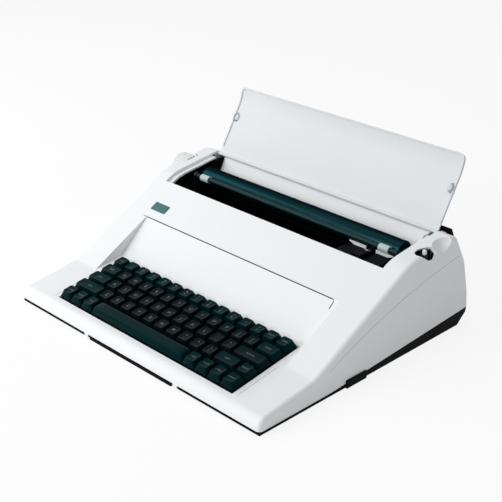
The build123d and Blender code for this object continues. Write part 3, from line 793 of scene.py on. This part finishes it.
class TYPEWRITER_OT_keys(bpy.types.Operator):
    """Makes every key cap with its rounded rim, dished top and mark"""

    bl_idname = "typewriter.keys"
    bl_label = "Keys"

    def execute(self, context):
        keys = context.scene.typewriter_keys
        letter = self.cap_plastic(
            "letter_cap_plastic", keys.cap, roughness=0.30, spread=0.25, sheen=(0.30, 0.80, 0.90)
        )
        function = self.cap_plastic(
            "function_cap_plastic", keys.function_cap, roughness=0.26, spread=0.25, sheen=(0.05, 0.85, 0.95)
        )
        accent = self.cap_plastic(
            "accent_cap_plastic", keys.accent, roughness=0.28, spread=0.2, sheen=(0.12, 0.78, 0.90)
        )
        ink = moulded("mark_ink", keys.mark, roughness=0.6, grain=3000.0, depth=0.000005, spread=0.06)
        finishes = {group: letter for group in LETTER_GROUPS}
        finishes[ACCENT_GROUP] = accent
        for group in KEY_GROUPS:
            self.make_group(group, keys, finishes.get(group, function), ink)
        frame_plastic = moulded(
            "key_frame_plastic",
            (0.002, 0.004, 0.004),
            roughness=0.6,
            grain=1200.0,
            depth=0.00003,
            spread=0.2,
            shine=0.05,
        )
        dress_node("key_frame", frame_plastic)
        dress_node("keyboard_board", laminate("board_laminate", BOARD_GREEN))
        return {"FINISHED"}

    def cap_plastic(self, name, colour, roughness, spread, sheen):
        """Smooth dark plastic whose shine has a tint of its own."""
        return moulded(
            name, colour, roughness, grain=2400.0, depth=0.000012, spread=spread, shine=0.05, sheen=sheen
        )

    def make_group(self, group, keys, finish, ink):
        """The caps of one group as one piece, and their marks as another."""
        row, start, widths, marks = KEY_GROUPS[group]
        caps = bmesh.new()
        film = bmesh.new()
        left = start
        for units, mark in zip(widths, marks):
            x = (left + units / 2) * PITCH - FIELD_WIDTH / 2
            y = (row + 0.5) * PITCH
            add_cap(caps, x, y, units, keys)
            if mark:
                size = MARK_SIZES.get(len(mark), WORD_SIZE)
                add_mark(film, mark, x, y + CAP_LEAN, keys.height - MARK_DROP, size)
            left += units
        caps.transform(field_matrix())
        piece = finished(caps, group + ".caps", finish)
        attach(piece, group)
        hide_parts(group)
        if len(film.verts):
            film.transform(field_matrix())
            letters = finished(film, group + ".marks", ink)
            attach(letters, group)
        else:
            film.free()


class TYPEWRITER_OT_badge(bpy.types.Operator):
    """Makes the bare badge plate on the upper left of the panel"""

    bl_idname = "typewriter.badge"
    bl_label = "Badge plate"

    def execute(self, context):
        look = context.scene.typewriter_case
        enamel = moulded(
            "badge_enamel", look.badge, roughness=0.25, grain=500.0, depth=0.000008, spread=0.08, shine=0.25
        )
        work = bmesh.new()
        loops = []
        for width, depth, corner, z in BADGE_RINGS:
            loops.append([work.verts.new((px, py, z)) for px, py in ring(width, depth, corner)])
        skin(work, loops)
        crease = Matrix.Translation((-REST_X, CREASE_Y - REST_Y, CREASE_Z))
        along = (BADGE_Y - CREASE_Y) / math.cos(PANEL_TILT)
        panel = crease @ Matrix.Rotation(PANEL_TILT, 4, "X")
        work.transform(panel @ Matrix.Translation((BADGE_X, along, 0.0)))
        plate = finished(work, "badge_plate", enamel, BADGE_SMOOTH)
        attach(plate, "case")
        return {"FINISHED"}


class TYPEWRITER_OT_seam(bpy.types.Operator):
    """Makes the dark line of painted shade in the groove above the key panel and the fine grey lines of
    painted shade beside the keys
    """

    bl_idname = "typewriter.seam"
    bl_label = "Seam and edge lines"

    def execute(self, context):
        self.make_seam_shade()
        self.make_edge_shade_lines()
        return {"FINISHED"}

    def make_seam_shade(self):
        # The dark ribbon sunk in the groove is painted shade.
        dark = moulded(
            "seam_shadow",
            (0.02, 0.022, 0.024),
            roughness=0.8,
            grain=900.0,
            depth=0.00001,
            spread=0.2,
            shine=0.1,
        )
        path = [*SEAM_ENDS]
        for i in range(1, SEAM_BEND_STEPS + 1):
            turn = math.radians(90 - 90 / SEAM_BEND_STEPS * i)
            x = SEAM_BEND[0] + SEAM_RADIUS * math.cos(turn)
            y = SEAM_BEND[1] + SEAM_RADIUS * math.sin(turn)
            path.append((x, y))
        path.append(SEAM_TAIL)
        top = Matrix.Translation((-REST_X, RECESS_TOP[0] - REST_Y, RECESS_TOP[1]))
        work = bmesh.new()
        add_ribbon(work, path, SEAM_WIDTH, *SEAM_LEVELS)
        work.transform(top @ Matrix.Rotation(RECESS_TILT, 4, "X"))
        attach(finished(work, "panel_seam_shade", dark), "case")

    def make_edge_shade_lines(self):
        # Pale grey lines of painted shade, standing for the shade of a step beside the keys.
        soft = moulded(
            "edge_shadow", (0.52, 0.535, 0.545), roughness=0.6, grain=900.0, depth=0.00001, shine=0.2
        )
        lines = bmesh.new()
        for side in (-1, 1):
            path = [(side * EDGE_LINE_X, y) for y in EDGE_LINE_ENDS]
            add_ribbon(lines, path, EDGE_LINE_WIDTH, *EDGE_LINE_LEVELS)
        lines.transform(field_matrix())
        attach(finished(lines, "key_edge_shade_lines", soft), "case")


class TYPEWRITER_OT_print_unit(bpy.types.Operator):
    """Finishes the platen, bail, carriage and the rest of the print unit"""

    bl_idname = "typewriter.print_unit"
    bl_label = "Print unit"

    def execute(self, context):
        self.dress_rollers()
        self.dress_carriage()
        self.dress_well()
        self.dress_drive()
        return {"FINISHED"}

    def dress_rollers(self):
        platen = ground_rubber(
            "platen_rubber",
            (0.0060, 0.0245, 0.0285),
            roughness=0.18,
            shine=0.10,
            sheen=(0.03, 0.25, 0.30),
            glaze=0.92,
        )
        bail = rolled("bail_black", (0.006, 0.024, 0.028), metallic=0.9, roughness=0.40)
        rollers = moulded("roller_plastic", (0.47, 0.55, 0.55), grain=900.0, spread=0.06, shine=0.4)
        rounded_copy("platen_roller", platen, 0.0005)
        rounded_copy("bail_bar", bail, 0.0004)
        rounded_copy("bail_rollers", rollers, 0.0006)

    def dress_carriage(self):
        dark = moulded(
            "carriage_plastic",
            (0.0025, 0.0034, 0.0040),
            roughness=0.55,
            grain=1200.0,
            depth=0.00003,
            spread=0.2,
            shine=0.04,
        )
        for node in ("carriage_frame", "hammer_coil", "ribbon_cassette", "print_wheel"):
            rounded_copy(node, dark, 0.0003)
        rounded_copy("card_guide", frosted("guide_plastic", (0.80, 0.83, 0.83)), 0.0003)

    def dress_well(self):
        lacquer = moulded(
            "black_lacquer",
            (0.0022, 0.0027, 0.0030),
            roughness=0.7,
            grain=700.0,
            depth=0.00001,
            spread=0.2,
            shine=0.02,
        )
        # Black sheets of painted shade against both side walls of the well.
        for side in (-1, 1):
            self.add_shade_sheet(side, lacquer)
        for node in ("left_side_plate", "chassis_tray", "paper_pan"):
            rounded_copy(node, lacquer, 0.0003)
        zinc = rolled("plate_zinc", (0.72, 0.74, 0.75), metallic=0.3, roughness=0.5)
        rounded_copy("right_side_plate", zinc, 0.0003)

    def add_shade_sheet(self, side, lacquer):
        """A black sheet of painted shade against the side wall of the well, under the step for the lid, in
        the black lacquer.
        """
        work = bmesh.new()
        loops = []
        for x in SHADE_SHEET_FACES:
            loops.append([work.verts.new((side * x - REST_X, y - REST_Y, z)) for y, z in WELL_OUTLINE])
        skin(work, loops)
        bmesh.ops.recalc_face_normals(work, faces=work.faces)
        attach(finished(work, "well_shade_sheet", lacquer), "case")

    def dress_drive(self):
        bright = rolled("ground_steel", (0.5, 0.5, 0.51), roughness=0.28)
        can = rolled("motor_can", (0.32, 0.32, 0.33), roughness=0.4)
        acetal = moulded(
            "gear_acetal", (0.02, 0.021, 0.022), roughness=0.4, grain=900.0, depth=0.00001, spread=0.1
        )
        belt = ground_rubber("belt_rubber", (0.012, 0.012, 0.012), roughness=0.6)
        for node in ("guide_rods", "platen_shaft", "print_hammer"):
            dress_node(node, bright)
        for node in ("feed_motor", "drive_motor", "wheel_motor"):
            dress_node(node, can)
        for node in ("platen_gear", "idler_gear", "motor_pinion", "drive_pulley", "belt_idler"):
            dress_node(node, acetal)
        for node in ("feed_rollers", "carriage_belt"):
            dress_node(node, belt)
        dress_node("main_board", laminate("main_board_laminate", BOARD_GREEN))
        dress_node("transformer", rolled("core_steel", (0.12, 0.12, 0.13), metallic=0.5, roughness=0.5))


class TYPEWRITER_OT_studio(bpy.types.Operator):
    """Makes the pale floor, the soft lamps and the camera"""

    bl_idname = "typewriter.studio"
    bl_label = "Studio"

    def execute(self, context):
        studio = context.scene.typewriter_studio
        context.scene.view_settings.view_transform = "Standard"
        self.make_floor()
        self.make_sky(context, studio.fill)
        for name, place, size, share in LAMPS:
            self.make_lamp(name, place, size, studio.key_power * share)
        self.make_camera(context, studio)
        return {"FINISHED"}

    def make_floor(self):
        """A pale sheet of paper that keeps the shadow and otherwise shows white."""
        work = bmesh.new()
        bmesh.ops.create_grid(work, x_segments=2, y_segments=2, size=FLOOR_SIZE)
        material, tree, shader, where = fresh("floor_paper", roughness=0.9)
        mottle(tree, shader, noise(tree, where, scale=3.0), (0.93, 0.93, 0.93), (0.95, 0.95, 0.95))
        glow = wired(tree, "ShaderNodeEmission", Color=WHITE, Strength=1.0)
        mix = tree.nodes.new("ShaderNodeMixShader")
        tree.links.new(remap(tree, seen_rays(tree), 0.0, 1.0, 0.0, FLOOR_GLOW), mix.inputs["Fac"])
        tree.links.new(shader.outputs["BSDF"], mix.inputs[1])
        tree.links.new(glow.outputs["Emission"], mix.inputs[2])
        tree.links.new(mix.outputs["Shader"], tree.nodes["Material Output"].inputs["Surface"])
        floor = finished(work, "floor", material)

    def make_sky(self, context, strength):
        """Even light from all round, which itself shows white."""
        world = bpy.data.worlds.new("studio_sky")
        context.scene.world = world
        world.use_nodes = True
        tree = world.node_tree
        light = tree.nodes["Background"]
        light.inputs["Color"].default_value = WHITE
        light.inputs["Strength"].default_value = strength
        shown = wired(tree, "ShaderNodeBackground", Color=WHITE, Strength=1.0)
        mix = tree.nodes.new("ShaderNodeMixShader")
        tree.links.new(seen_rays(tree), mix.inputs["Fac"])
        tree.links.new(light.outputs["Background"], mix.inputs[1])
        tree.links.new(shown.outputs["Background"], mix.inputs[2])
        tree.links.new(mix.outputs["Shader"], tree.nodes["World Output"].inputs["Surface"])

    def make_lamp(self, name, place, size, power):
        lamp = bpy.data.lights.new(name, "AREA")
        lamp.shape = "SQUARE"
        lamp.size = size
        lamp.energy = power
        holder = link(bpy.data.objects.new(name, lamp))
        holder.location = place
        aim = Vector(LAMP_AIM) - Vector(place)
        holder.rotation_euler = aim.to_track_quat("-Z", "Y").to_euler()

    def make_camera(self, context, studio):
        data = bpy.data.cameras.new("camera")
        data.sensor_width = SENSOR
        data.sensor_fit = "HORIZONTAL"
        data.lens = SENSOR * FOCAL / PICTURE
        data.shift_x = (PICTURE / 2 - MIDDLE[0]) / PICTURE
        data.shift_y = (MIDDLE[1] - PICTURE / 2) / PICTURE
        data.clip_start = 0.05
        camera = link(bpy.data.objects.new("camera", data))
        az = studio.azimuth
        el = studio.elevation
        back = Vector((math.sin(az) * math.cos(el), -math.cos(az) * math.cos(el), math.sin(el)))
        target = Vector((-REST_X, AIM_Y - REST_Y, AIM_Z))
        camera.location = target + back * studio.distance
        camera.rotation_euler = (-back).to_track_quat("-Z", "Y").to_euler()
        context.scene.camera = camera


class TYPEWRITER_PT_panel(bpy.types.Panel):
    """Lists the pieces of the typewriter and their settings"""

    bl_idname = "TYPEWRITER_PT_panel"
    bl_label = "Typewriter"
    bl_space_type = "VIEW_3D"
    bl_region_type = "UI"
    bl_category = "Typewriter"

    def draw(self, context):
        for settings in SETTINGS:
            box = self.layout.box()
            group = getattr(context.scene, settings)
            for name in group.__annotations__:
                box.prop(group, name)
        for step in STEPS:
            self.layout.operator(step.bl_idname)


SETTINGS = {
    "typewriter_case": TypewriterCase,
    "typewriter_keys": TypewriterKeys,
    "typewriter_studio": TypewriterStudio,
}
STEPS = (
    TYPEWRITER_OT_case,
    TYPEWRITER_OT_lid,
    TYPEWRITER_OT_handle,
    TYPEWRITER_OT_keys,
    TYPEWRITER_OT_badge,
    TYPEWRITER_OT_seam,
    TYPEWRITER_OT_print_unit,
    TYPEWRITER_OT_studio,
)


def register():
    for name, group in SETTINGS.items():
        bpy.utils.register_class(group)
        setattr(bpy.types.Scene, name, bpy.props.PointerProperty(type=group))
    for step in STEPS:
        bpy.utils.register_class(step)
    bpy.utils.register_class(TYPEWRITER_PT_panel)


def unregister():
    bpy.utils.unregister_class(TYPEWRITER_PT_panel)
    for step in reversed(STEPS):
        bpy.utils.unregister_class(step)
    for name, group in SETTINGS.items():
        delattr(bpy.types.Scene, name)
        bpy.utils.unregister_class(group)


def main():
    register()
    for step in STEPS:
        module, name = step.bl_idname.split(".")
        getattr(getattr(bpy.ops, module), name)()


if __name__ == "__main__":
    main()
